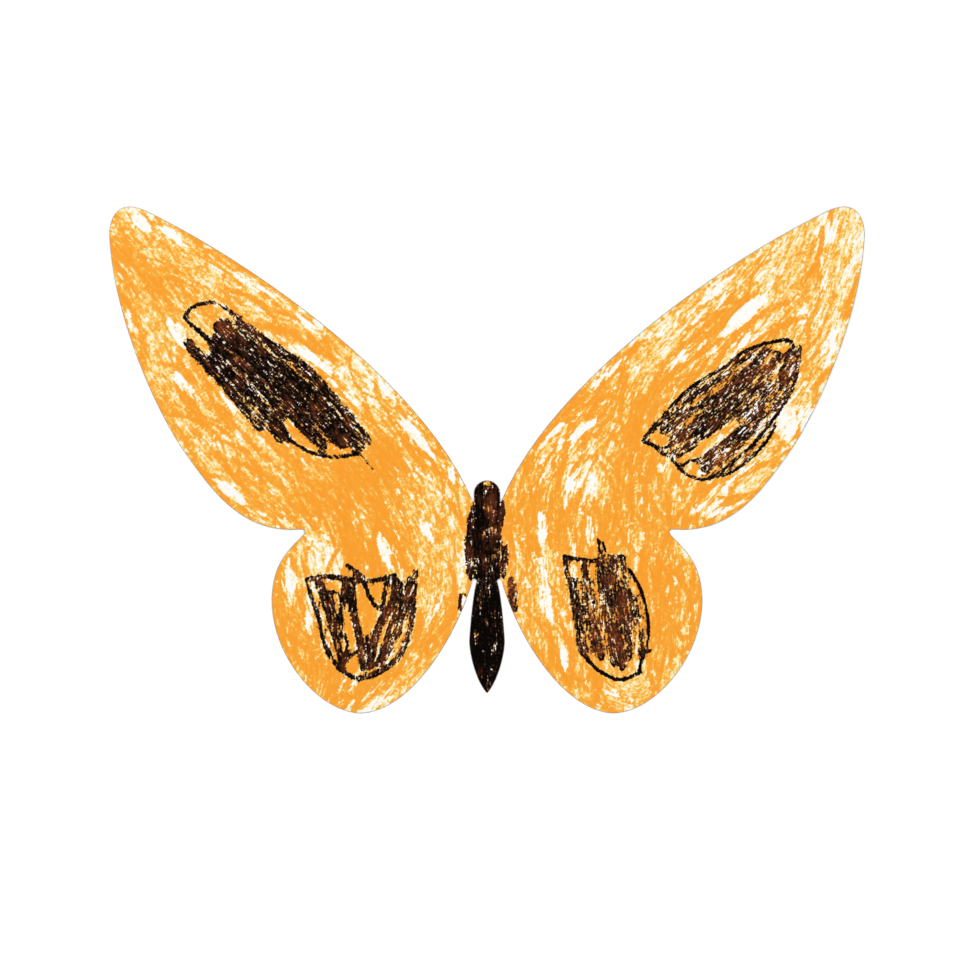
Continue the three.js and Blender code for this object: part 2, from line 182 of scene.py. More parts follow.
def top_loops(node):
    """The loops round a CAD node's upper face, the outer one first."""
    mesh = frame["nodes"][node].data
    points = np.array([v.co for v in mesh.vertices]) / MM
    top = points[:, 2].max()
    follows = {}
    for face in mesh.polygons:
        corners = points[list(face.vertices)]
        if corners[:, 2].min() < top - 0.01:
            continue
        keys = [tuple(c) for c in np.round(corners[:, :2], 3).tolist()]
        for a, b in zip(keys, keys[1:] + keys[:1]):
            if a in follows.get(b, []):
                follows[b].remove(a)
            else:
                follows.setdefault(a, []).append(b)
    loops = []
    for start in follows:
        while follows[start]:
            loop = [start]
            while follows[loop[-1]]:
                loop.append(follows[loop[-1]].pop())
                if loop[-1] == start:
                    break
            loops.append(np.array(loop[:-1]))
    return sorted(loops, key=lambda loop: -abs(area(loop)))


def fill(loops):
    """True at the grid points inside the loops; a loop inside another is a hole."""
    flips = np.zeros((len(rows), len(columns) + 1), int)
    for loop in loops:
        for (ax, ay), (bx, by) in zip(loop, np.roll(loop, -1, axis=0)):
            if ay == by:
                continue
            first, last = np.searchsorted(rows, sorted((ay, by)))
            x = ax + (rows[first:last] - ay) * (bx - ax) / (by - ay)
            np.add.at(flips, (np.arange(first, last), np.searchsorted(columns, x - 1e-6)), 1)
    return np.cumsum(flips, axis=1)[:, :-1] % 2 == 1


def anticlockwise(loop):
    return loop if area(loop) > 0 else loop[::-1]


def cut_at(loop, x, side):
    """The part of a loop outside the line at x on one side of the body."""
    kept = []
    for a, b in zip(loop, np.roll(loop, -1, axis=0)):
        inside_a, inside_b = side * a[0] >= x, side * b[0] >= x
        if inside_a:
            kept.append(a)
        if inside_a != inside_b:
            share = (side * x - a[0]) / (b[0] - a[0])
            kept.append(np.array([side * x, a[1] + share * (b[1] - a[1])]))
    return np.array(kept)


def narrowed(loop, bottom, top):
    """The body's loop drawn in to the strips' inner edges beside the creases."""
    points = []
    for a, b in zip(loop, np.roll(loop, -1, axis=0)):
        beside = abs(a[0]) > body_side and bottom - 0.01 <= a[1] <= top
        points.append([math.copysign(body_side, a[0]), a[1]] if beside else list(a))
        if abs(a[0] - b[0]) < 0.01 and (a[1] - top) * (b[1] - top) < 0:
            corner = [[math.copysign(body_side, a[0]), top], [a[0], top + 0.02]]
            points.extend(corner if b[1] > a[1] else corner[::-1])
    return np.array(points)


def divided(loop, longest):
    """The loop with its long edges cut into shorter ones."""
    points = []
    for a, b in zip(loop, np.roll(loop, -1, axis=0)):
        parts = max(1, math.ceil(np.hypot(*(b - a)) / longest))
        points.extend(a + (b - a) * k / parts for k in range(parts))
    return np.array(points)


def inset(loop, distance, straight):
    """The loop moved inwards, except at the crease, the line x = straight."""
    before, after = np.roll(loop, 1, axis=0), np.roll(loop, -1, axis=0)
    e1, e2 = loop - before, after - loop
    e1 /= np.linalg.norm(e1, axis=1)[:, None]
    e2 /= np.linalg.norm(e2, axis=1)[:, None]
    inward = np.stack([-(e1 + e2)[:, 1], (e1 + e2)[:, 0]], axis=1)
    inward /= np.maximum(np.linalg.norm(inward, axis=1), 1e-6)[:, None]
    inward[np.abs(np.abs(loop[:, 0]) - straight) < 1e-3] = 0
    return loop + inward * distance


wing_loops = {
    side: anticlockwise(cut_at(top_loops(f"{side}_wing_card")[0], wing_side, sign))
    for side, sign in SIDES.items()
}
root_ys = wing_loops["right"][np.abs(wing_loops["right"][:, 0] - wing_side) < 1e-3][:, 1]
whole_card = fill(top_loops("left_wing_card") + top_loops("body_card") + top_loops("right_wing_card"))
inner_edge = top_loops("right_wing_card")[0]
inner_edge = inner_edge[inner_edge[:, 0] < inner_edge[:, 0].min() + 1e-3]
crease_bottom, crease_top = inner_edge[:, 1].min(), inner_edge[:, 1].max()
body_loop = anticlockwise(narrowed(top_loops("body_card")[0], crease_bottom, crease_top))


def lift(x, y):
    """How far the card stands off the table: the wings curl up a little towards their tips."""
    out = np.clip((np.abs(x) - 14) / 111, 0, 1)
    curl = np.where(x < 0, 0.5, 0.4) * out**2
    return curl + 0.05 * out * (1 + np.sin(0.09 * y + 0.05 * np.abs(x) + np.sign(x)))


# ---------------------------------------------------------------------------------------------------------
# Painting. Pressure is how hard the crayon was pressed: 0 leaves the card bare, near 1 fills its tooth.

# The hand at places on each wing: shares of the wing's width and height, the strokes' direction in degrees,
# how much of the place strong strokes cover, and how hard the light strokes under them are pressed. A place
# counts within about HAND_REACH.
HAND_REACH = 13
HAND = {
    "left": [
        (0.94, 0.96, 135, 0.84, 0.38), (0.83, 0.88, 140, 0.72, 0.36), (0.93, 0.77, 107, 0.66, 0.36),
        (0.80, 0.67, 128, 0.60, 0.35), (0.75, 0.57, 125, 0.72, 0.35), (0.63, 0.45, 130, 0.15, 0.28),
        (0.64, 0.87, 148, 0.36, 0.33), (0.46, 0.75, 142, 0.50, 0.34), (0.29, 0.64, 136, 0.42, 0.32),
        (0.14, 0.54, 130, 0.55, 0.34), (0.48, 0.47, 128, 0.99, 0.48), (0.25, 0.43, 125, 0.98, 0.46),
        (0.06, 0.40, 100, 0.72, 0.36), (0.14, 0.31, 118, 0.50, 0.33), (0.42, 0.31, 95, 0.40, 0.32),
        (0.50, 0.23, 98, 0.72, 0.35), (0.29, 0.19, 100, 0.94, 0.42), (0.09, 0.22, 63, 0.52, 0.33),
        (0.14, 0.10, 55, 0.68, 0.35), (0.31, 0.03, 35, 0.86, 0.38), (0.46, 0.10, 105, 0.78, 0.37),
        (0.54, 0.64, 134, 0.55, 0.33), (0.56, 0.37, 168, 0.50, 0.33),
    ],
    "right": [
        (0.94, 0.96, 75, 0.36, 0.33), (0.86, 0.91, 78, 0.34, 0.33), (0.94, 0.79, 72, 0.40, 0.34),
        (0.75, 0.85, 45, 0.12, 0.38), (0.58, 0.77, 42, 0.48, 0.36), (0.38, 0.67, 42, 0.56, 0.34),
        (0.21, 0.58, 38, 0.60, 0.33), (0.88, 0.64, 60, 0.36, 0.33), (0.75, 0.51, 48, 0.42, 0.32),
        (0.63, 0.41, 32, 0.52, 0.34), (0.36, 0.61, 92, 0.92, 0.38), (0.38, 0.46, 92, 0.90, 0.38),
        (0.39, 0.35, 90, 0.90, 0.38), (0.21, 0.47, 42, 0.56, 0.34), (0.13, 0.37, 96, 0.60, 0.34),
        (0.04, 0.37, 92, 0.98, 0.44), (0.25, 0.37, 88, 0.58, 0.33), (0.48, 0.28, 92, 0.84, 0.36),
        (0.50, 0.16, 95, 0.76, 0.35), (0.29, 0.22, 95, 0.90, 0.38), (0.11, 0.21, 100, 0.58, 0.34),
        (0.19, 0.10, 95, 0.68, 0.35), (0.34, 0.04, 168, 0.56, 0.32), (0.48, 0.09, 62, 0.60, 0.33),
        (0.63, 0.61, 45, 0.55, 0.32), (0.05, 0.27, 92, 0.88, 0.38),
    ],
}
MOST_COVER = 0.99

# The lengths, widths and forces of the strokes in each hatching.
LIGHT_STROKES = ((14, 34), (1.4, 2.8), (0.85, 1.0))
STRONG_STROKES = ((14, 38), (1.2, 2.6), (0.6, 0.95))
THIN_STROKES = ((8, 22), (0.4, 0.9), (0.15, 0.5))
DARK_STROKES = ((8, 20), (0.5, 1.2), (0.45, 0.75))

fray = noise(0.22)
TRACKS = np.linspace(-2.4, 2.4, 25)


def draw(pressure, x, y, angle, length, width, force, bend):
    """Draws one crayon stroke: a worn tip with its own tracks, over the strokes that are there."""
    reach = length / 2 + width
    r = slice(*np.searchsorted(rows, (y - reach, y + reach)))
    c = slice(*np.searchsorted(columns, (x - reach, x + reach)))
    dx, dy = X[r, c] - x, Y[r, c] - y
    along = dx * math.cos(angle) + dy * math.sin(angle)
    across = dy * math.cos(angle) - dx * math.sin(angle) - bend * along**2 / length
    sides = np.clip((width / 2 - np.abs(across) + 0.13 * fray[r, c]) / 0.3, 0, 1)
    ends = np.clip((length / 2 - np.abs(along) + 0.8 * fray[r, c]) / 1.5, 0, 1)
    tracks = 1 - 0.3 * np.interp(across, TRACKS, RNG.random(len(TRACKS)))
    pressure[r, c] = 1 - (1 - pressure[r, c]) * (1 - force * sides * ends * tracks)


def hatch(pressure, corners, angle, cover, most, kind):
    """Hatches a box in bursts of side-by-side strokes, most layers deep, less where cover is below 1."""
    (x0, y0), (x1, y1) = corners
    lengths, widths, forces = kind
    mean_size = (lengths[0] + lengths[1]) * (widths[0] + widths[1]) / 4
    left = round(most * (x1 - x0) * (y1 - y0) / mean_size)
    while left > 0:
        x, y = RNG.uniform(x0, x1), RNG.uniform(y0, y1)
        strokes = RNG.integers(4, 11)
        length, width, force = RNG.uniform(*lengths), RNG.uniform(*widths), RNG.uniform(*forces)
        spacing, bend = width * RNG.uniform(0.85, 1.3), RNG.uniform(-1.2, 1.2)
        left -= strokes
        for k in range(strokes):
            row = min(max(np.searchsorted(rows, y), 0), len(rows) - 1)
            column = min(max(np.searchsorted(columns, x), 0), len(columns) - 1)
            way = angle[row, column]
            shift, turn, part, luck = RNG.uniform(-0.5, 0.5, 4)
            if luck + 0.5 < cover[row, column]:
                forward = 0.3 * length * shift
                draw(
                    pressure, x + forward * math.cos(way), y + forward * math.sin(way),
                    way + (0.03 if k % 2 else -0.03) + 0.06 * turn, length * (1 + 0.5 * part),
                    width * (1 + 0.3 * turn), force * (1 + 0.1 * part), bend,
                )
            x -= spacing * math.sin(way)
            y += spacing * math.cos(way)


def paint_wing(side):
    """One wing's light strokes and strong strokes, how hard the light ones are pressed, the strokes'
    direction, and the share that strong ones cover."""
    node = f"{side}_wing_card"
    across, up, degrees, covers, forces = zip(*HAND[side])
    places = [place_out(node, u, v) for u, v in zip(across, up)]
    # Opposite ways are the same direction, so the blend is of doubled angles.
    doubled = blend_places(places, [np.exp(2j * math.radians(way)) for way in degrees], HAND_REACH)
    angle = np.angle(doubled) / 2 % math.pi
    solid = blend_places(places, covers, HAND_REACH)
    light = blend_places(places, forces, HAND_REACH)
    faint = np.zeros(X.shape)
    hatch(faint, box_of(node), angle, EVERYWHERE, 3.0, LIGHT_STROKES)
    strong = np.zeros(X.shape)
    most = -math.log(1 - MOST_COVER)
    chance = -np.log(1 - np.minimum(solid, MOST_COVER)) / most
    hatch(strong, box_of(node), angle, chance, most, STRONG_STROKES)
    return faint, strong, light, angle, solid


# The body's orange, which the black hides nearly all of, is one even layer.
angle = np.full(X.shape, math.pi / 2)
pressure = np.full(X.shape, 0.85)
solid = np.full(X.shape, 0.7)
for side, sign in SIDES.items():
    wing = sign * X >= crease_x
    faint, strong, light, wing_angle, wing_solid = paint_wing(side)
    angle[wing] = wing_angle[wing]
    solid[wing] = wing_solid[wing]
    soft = light * (0.55 + 1.15 * faint)
    pressure[wing] = (1 - (1 - soft) * (1 - strong))[wing]

# The card's tooth, drawn out a little along the strokes, which every coat has to fill.
tooth = even_out(
    0.7 * drag(noise(0.13), angle, 1.0) + 0.5 * noise(0.19)
    + 0.42 * drag(noise(0.2), angle, 5) + 0.12 * noise(0.7)
)

# Where light strokes cross the bare streaks, as patches of how much they cover.
CROSSED = {
    "right_wing_card": [(0.97, 0.80, 9, 0.75), (0.92, 0.66, 8, 0.45), (0.93, 0.87, 8, 0.45)],
    "left_waist_mark": [(0.50, 0.50, 3, 0.90)],
}

# The streaks that the CAD's orange coats leave bare, with the strokes' ragged edges.
near_crease = np.abs(np.abs(X) - crease_x) < HALF_STRIP + 0.1
beside_crease = near_crease & (Y > crease_bottom - 2) & (Y < crease_top + 2)
waxed = fill(
    top_loops("left_wing_orange_wax") + top_loops("body_orange_wax") + top_loops("right_wing_orange_wax")
)
rough = drag(noise(0.28), angle, 9)
streaks = blur(whole_card & ~waxed & ~beside_crease, 0.6)
for node, patches in CROSSED.items():
    for patch in soft_patches(node, patches):
        streaks *= 1 - patch
pressure *= 1 - 0.87 * ease(streaks + 0.2 * rough + 0.06 * tooth, 0.3, 0.72)
for side in SIDES:
    hatch(pressure, box_of(f"{side}_wing_card"), angle, EVERYWHERE, 0.4, THIN_STROKES)
pressure += 0.03 * noise(2.5) + 0.035 * rough
tone = ease(solid + 0.05 * noise(5), 0.86, 1.02) * (0.6 + 0.4 * ease(noise(2.2), -1, 1))

# Each dark mark: its CAD node, its body, the record's slot, the strokes' direction at its left and its right
# side in degrees, how hard its strokes and its thin lines are pressed, how far light strokes close its gaps,
# how much bare card shows under it, and how brown it is overall.
Mark = namedtuple("Mark", "node body slot left_angle right_angle force line_force closing bare brown")
MARKS = [
    Mark("left_forewing_spot", "left_wing", "black_wax", 134, 132, 0.72, 0.60, 0.77, 0.55, 0.12),
    Mark("right_forewing_spot", "right_wing", "black_wax", 44, 50, 0.60, 0.76, 0.66, 0.60, 0.12),
    Mark("left_hindwing_spot", "left_wing", "black_wax", 108, 66, 0.67, 0.78, 0.34, 0.45, 0.10),
    Mark("right_hindwing_spot", "right_wing", "black_wax", 96, 102, 0.61, 0.88, 0.54, 0.28, 0.34),
    Mark("left_thorax_overrun", "left_wing", "black_wax", 90, 90, 0.95, 0.0, 0.85, 0.15, 0.15),
    Mark("left_waist_mark", "left_wing", "brown_wax", 80, 80, 0.78, 0.0, 0.95, 0.20, 0.20),
    Mark("right_upper_thorax_overrun", "right_wing", "black_wax", 88, 88, 0.95, 0.0, 0.80, 0.05, 0.0),
    Mark("right_lower_thorax_overrun", "right_wing", "black_wax", 90, 90, 0.78, 0.0, 0.80, 0.10, 0.50),
    Mark("right_waist_mark", "right_wing", "brown_wax", 96, 96, 0.74, 0.0, 0.80, 0.05, 0.75),
    Mark("body_black_wax", "body", "black_wax", 92, 88, 0.96, 0.0, 0.70, 0.65, 0.0),
]

# Patches where a mark is browner, above 0, or blacker, below 0.
BLOTS = {
    "left_forewing_spot": [
        (0.24, 0.84, 8, 0.30), (0.45, 0.50, 11, -0.55), (0.08, 0.68, 5, -0.40), (0.55, 0.10, 7, 0.20),
        (0.90, 0.12, 5, -0.25),
    ],
    "right_forewing_spot": [(0.70, 0.78, 7, 0.35), (0.40, 0.50, 9, -0.25), (0.45, 0.25, 6, 0.35)],
    "left_hindwing_spot": [
        (0.50, 0.20, 5, 0.30), (0.85, 0.50, 4, 0.30), (0.10, 0.88, 3, 0.30), (0.50, 0.93, 7, -0.40),
    ],
    "right_hindwing_spot": [
        (0.08, 0.65, 4, -0.60), (0.15, 0.42, 4, -0.60), (0.36, 0.62, 3.5, 0.45), (0.40, 0.44, 3.5, 0.45),
        (0.53, 0.80, 2.5, -0.60), (0.57, 0.60, 2.5, -0.60), (0.60, 0.35, 3, -0.40), (0.78, 0.52, 4, 0.25),
    ],
    "left_thorax_overrun": [(0.50, 0.75, 7, -0.50), (0.50, 0.30, 6, 0.65)],
    "body_black_wax": [
        (0.62, 0.91, 2.4, 0.65), (0.68, 0.83, 2.4, 0.65), (0.70, 0.74, 2.2, 0.60), (0.74, 0.66, 2.2, 0.50),
        (0.25, 0.85, 4, -0.50), (0.45, 0.25, 18, -0.60),
    ],
}

# Patches where a mark is pressed more lightly, by that share.
FAINT = {
    "left_forewing_spot": [(0.99, 0.01, 3.5, 0.42), (0.30, 0.45, 6, 0.15)],
    "left_thorax_overrun": [(0.60, 0.25, 3, 0.30)],
    "body_black_wax": [
        (0.48, 0.995, 1.2, 0.65), (0.45, 0.95, 1.2, 0.30), (0.60, 0.86, 1.5, 0.50), (0.66, 0.76, 1.5, 0.48),
        (0.80, 0.66, 1.3, 0.30), (0.38, 0.74, 1.2, 0.22), (0.47, 0.62, 1.2, 0.25), (0.52, 0.50, 1.2, 0.22),
    ],
}

# Each mark's shape, and the area round it that its coat may cover.
shapes = {}
mark_areas = {}
dark_angle = angle.copy()
for mark in MARKS:
    loops = top_loops(mark.node)
    shapes[mark.node] = fill(loops)
    mark_areas[mark.node] = blur(fill(loops[:1]), 0.6) > 0.08
    low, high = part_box(mark.node)
    share = np.clip((X - low.x / MM) / ((high.x - low.x) / MM), 0, 1)
    turned = np.radians(mark.left_angle + share * (mark.right_angle - mark.left_angle))
    dark_angle[mark_areas[mark.node]] = turned[mark_areas[mark.node]]

# Beside a crease the body's wax runs to the fold line, and a wing's from there on.
for side, sign in SIDES.items():
    near = np.abs(sign * X - crease_x) < HALF_STRIP + 0.1
    beside = near & (Y > crease_bottom - 0.6) & (Y < crease_top + 0.3)
    shapes["body_black_wax"] |= beside & (sign * X <= crease_x)
    just_outside = np.searchsorted(columns, sign * (crease_x + HALF_STRIP + 0.2))
    for node, shape in shapes.items():
        if node.startswith(side) and "overrun" in node:
            shape |= shape[:, just_outside][:, None] & beside & (sign * X > crease_x)

dark_tooth = even_out(0.55 * tooth + 0.6 * drag(noise(0.12), dark_angle, 1.4) + 0.45 * noise(0.16))
blots = 0
for node, patches in BLOTS.items():
    blots = blots + sum(soft_patches(node, patches)) * blur(shapes[node], 1)
tracks = drag(noise(0.3), dark_angle, 8)
under = ease(drag(noise(0.3), dark_angle, 2.5), -0.7, 0.6)
dark_pressure = np.zeros(X.shape)
black_lines = np.zeros(X.shape)
brown = np.zeros(X.shape)
for mark in MARKS:
    shape = shapes[mark.node]
    fill_in = np.zeros(X.shape)
    hatch(fill_in, box_of(mark.node), dark_angle, EVERYWHERE, 1.6, DARK_STROKES)
    within = blur(shape, 0.8)
    density = blur(shape, 1.1)
    closed = blur(density > 0.33, 0.5)
    strokes = ease(blur(shape, 0.25) + 0.11 * fray, 0.25, 0.8)
    gaps = mark.closing * ease(closed + 0.1 * fray, 0.4, 0.9)
    pressed = mark.force * np.maximum(strokes * (0.86 + 0.35 * fill_in), gaps * (0.7 + 0.45 * fill_in))
    lines = ease(blur(shape, 0.18) + 0.1 * fray, 0.42, 0.86) * (1 - ease(density, 0.5, 0.72))
    pressed = np.maximum(pressed, mark.line_force * lines)
    black_lines = np.maximum(black_lines, mark.line_force * lines)
    pressed += (0.06 * tracks + 0.02 * noise(3)) * ease(pressed, 0.1, 0.4)
    for patch in soft_patches(mark.node, FAINT.get(mark.node, [])):
        pressed *= 1 - patch
    dark_pressure = np.maximum(dark_pressure, pressed)
    pressure = pressure * (1 - mark.bare * within * under)
    brown = np.maximum(brown, mark.brown * within)
mottle = (0.22 + 0.35 * brown) * tracks + (0.18 + 0.15 * brown) * noise(1.2)
brown = np.clip(brown + blots + mottle * ease(dark_pressure, 0.1, 0.4) - black_lines, 0, 1)

# How thick the wax is where the pressure overcomes the tooth, from below 0, none, to about 0.6, solid.
orange = pressure - (0.42 + 0.165 * tooth)
dark = dark_pressure - (0.36 + 0.19 * dark_tooth)
dark = np.where(dark_pressure < 0.03, -1.0, dark)

# The coats' heights over the card. A coat dips out of sight where it has no wax.
orange_height = np.interp(orange, [-0.4, -0.27, 0.1, 0.6], [-0.06, 0.0, 0.035, 0.085])
dark_height = np.maximum(orange_height, 0) + np.interp(dark, [-0.1, 0.1, 0.6], [0.006, 0.04, 0.1])
dark_height = np.where(dark < -0.16, orange_height - 0.03, dark_height)


# ---------------------------------------------------------------------------------------------------------
# Meshes.


def paint_at(column, row):
    """What the material reads at grid points: the orange and dark wax, how brown, how deep the orange."""
    return np.stack([f[row, column] for f in (orange, dark, brown, tone)], axis=1)


def make_object(name, points, faces, paint, materials, face_materials=None):
    """A mesh object from points in millimetres, lifted with the card's curl."""
    points = np.array(points, float)
    place = points.copy()
    points[:, 2] += lift(points[:, 0], points[:, 1])
    mesh = bpy.data.meshes.new(name)
    mesh.from_pydata((points * MM).tolist(), [], faces)
    mesh.attributes.new("place", "FLOAT_VECTOR", "POINT").data.foreach_set("vector", place.ravel())
    mesh.attributes.new("wax", "FLOAT_COLOR", "POINT").data.foreach_set("color", np.ravel(paint))
    for material in materials:
        mesh.materials.append(material)
    if face_materials is not None:
        mesh.polygons.foreach_set("material_index", face_materials)
    mesh.shade_smooth()
    mesh.set_sharp_from_angle(angle=math.radians(50))
    mesh.validate()
    piece = bpy.data.objects.new(name, mesh)
    bpy.context.scene.collection.objects.link(piece)
    return piece


def scattered(region, spacing, margin):
    """Points on a coarse lattice, well inside a region."""
    deep = blur(region, margin / 2) > 0.985
    stride = round(spacing / STEP)
    picked = deep[::stride, ::stride]
    return np.stack([X[::stride, ::stride][picked], Y[::stride, ::stride][picked]], axis=1)


def triangles(points, edges):
    """Triangles inside closed edges, and where each given point went."""
    made, _, faces, origins, *_ = delaunay_2d_cdt(points.tolist(), edges, [], 1, 1e-6)
    went = {}
    for k, sources in enumerate(origins):
        for source in sources:
            went[source] = k
    return np.array([list(p) for p in made]), faces, went


def skin(name, region, height, stride, material, rim=None):
    """A closed skin over a region of the grid, sunk a little into the card; rim is the line it ends at."""
    inside = region[::stride, ::stride]
    cell = inside[:-1, :-1] & inside[1:, :-1] & inside[:-1, 1:] & inside[1:, 1:]
    padded = np.pad(cell, 1).astype(int)
    round_corner = padded[:-1, :-1] + padded[1:, :-1] + padded[:-1, 1:] + padded[1:, 1:]
    used = round_corner > 0
    index = np.full(inside.shape, -1)
    index[used] = np.arange(used.sum())
    corners = (index[:-1, :-1], index[:-1, 1:], index[1:, 1:], index[1:, :-1])
    quads = np.stack([c[cell] for c in corners], axis=1)

    neighbours = (padded[:-2, 1:-1], padded[1:-1, 2:], padded[2:, 1:-1], padded[1:-1, :-2])
    edges = []
    for k, neighbour in enumerate(neighbours):
        open_side = cell & (neighbour == 0)
        edges.append(np.stack([corners[k][open_side], corners[(k + 1) % 4][open_side]], axis=1))
    edges = np.concatenate(edges)

    column, row = COLUMN[::stride, ::stride][used], ROW[::stride, ::stride][used]
    flat = np.stack([columns[column], rows[row]], axis=1)
    border = np.unique(edges)
    if rim is not None:
        line = divided(rim, 0.05)
        tree = KDTree(len(line))
        for k, point in enumerate(line):
            tree.insert((*point, 0), k)
        tree.balance()
        for k in border:
            flat[k] = tree.find((*flat[k], 0))[0][:2]
    top = np.column_stack([flat, card_top + height[row, column]])
    paint = paint_at(column, row)

    order = {point: k for k, point in enumerate(border)}
    outline = [(order[a], order[b]) for a, b in edges.tolist()]
    base_points = np.concatenate([flat[border], scattered(region, 6, 3)])
    base, base_faces, went = triangles(base_points, outline)
    bottom = np.column_stack([base, np.full(len(base), card_top - SUNK)])
    base_paint = np.zeros((len(base), 4))
    for point, k in order.items():
        base_paint[went[k]] = paint[point]
    shift = len(top)
    walls = [[a, shift + went[order[a]], shift + went[order[b]], b] for a, b in edges.tolist()]
    faces = quads.tolist() + walls + [[shift + i for i in reversed(face)] for face in base_faces]
    return make_object(
        name, np.concatenate([top, bottom]), faces, np.concatenate([paint, base_paint]), [material]
    )


def sheet_of_card(name, loop, region, straight, materials):
    """A panel of card with a cut edge that shows as a thin bevel, painted grey as the shade along the edge.
    """
    outer = divided(loop, 1.0)
    rings = [
        (inset(outer, CUT_EDGE, straight), card_top),
        (outer, card_top - CUT_DEPTH),
        (outer, UNDER_EDGE),
        (inset(outer, UNDER_EDGE, straight), 0.0),
    ]
    count = len(outer)
    points = [np.column_stack([ring, np.full(count, z)]) for ring, z in rings]
    faces, kinds = [], []
    for ring in range(3):
        for k in range(count):
            after = (k + 1) % count
            a, b = ring * count + k, ring * count + after
            faces.append([a, a + count, b + count, b])
            kinds.append(1)
    start = 4 * count
    round_trip = [(k, (k + 1) % count) for k in range(count)]
    for ring, z, first in ((rings[0][0], card_top, 0), (rings[3][0], 0.0, 3 * count)):
        flat, made, went = triangles(np.concatenate([ring, scattered(region, 4, 3)]), round_trip)
        where = np.arange(start, start + len(flat))
        for k in range(count):
            where[went[k]] = first + k
        points.append(np.column_stack([flat, np.full(len(flat), z)]))
        start += len(flat)
        for face in made:
            corners = [int(where[i]) for i in face]
            faces.append(corners if z else corners[::-1])
            kinds.append(0)
    points = np.concatenate(points)
    used = np.unique(np.concatenate([np.ravel(f) for f in faces]))
    index = np.full(len(points), -1)
    index[used] = np.arange(len(used))
    faces = [[int(index[i]) for i in face] for face in faces]
    return make_object(name, points[used], faces, np.zeros((len(used), 4)), materials, kinds)


def crease_strip(name, sign, material):
    """The card and wax at a fold line."""
    points_across, points_along = 7, 153
    across = np.arange(points_across) / (points_across - 1) * 2 * HALF_STRIP - HALF_STRIP + crease_x
    reach = np.interp(across, [body_side, crease_x + 0.15, wing_side], [0, 0, 1])
    bottom = crease_bottom + reach * (root_ys.min() - crease_bottom)
    top = crease_top + reach * (root_ys.max() - crease_top)
    share = np.linspace(0, 1, points_along)[:, None]
    x = np.broadcast_to(sign * across, (points_along, points_across))
    y = bottom + share * (top - bottom)
    column = np.searchsorted(columns, x - STEP / 2)
    row = np.searchsorted(rows, y - STEP / 2)
    height = np.maximum(np.maximum(orange_height, dark_height), 0)[row, column]
    upper = np.stack([x, y, card_top + height], axis=2).reshape(-1, 3)
    lower = np.stack([x, y, np.zeros(x.shape)], axis=2).reshape(-1, 3)
    index = np.arange(x.size).reshape(x.shape)
    cells = np.stack([index[:-1, :-1], index[:-1, 1:], index[1:, 1:], index[1:, :-1]], axis=2).reshape(-1, 4)
    if sign < 0:
        cells = cells[:, ::-1]
    ring = np.concatenate([index[0, :-1], index[:-1, -1], index[-1, :0:-1], index[:0:-1, 0]])
    if sign < 0:
        ring = ring[::-1]
    after = np.roll(ring, -1)
    walls = np.stack([ring, ring + x.size, after + x.size, after], axis=1)
    faces = cells.tolist() + (cells[:, ::-1] + x.size).tolist() + walls.tolist()
    paint = paint_at(column.ravel(), row.ravel())
    points = np.concatenate([upper, lower])
    return make_object(name, points, faces, np.concatenate([paint, paint]), [material])


# ---------------------------------------------------------------------------------------------------------
# Materials.


LIGHT_LEVEL = 1.3  # how bright the studio shows a white surface that lies flat, where 1 is display white


def shade(red, green, blue):
    """A display colour, 0 to 255, as the surface colour that shows so under the studio's light."""
    values = [c / 255 for c in (red, green, blue)]
    linear = [c / 12.92 if c <= 0.04045 else ((c + 0.055) / 1.055) ** 2.4 for c in values]
    return (*[c / LIGHT_LEVEL for c in linear], 1.0)


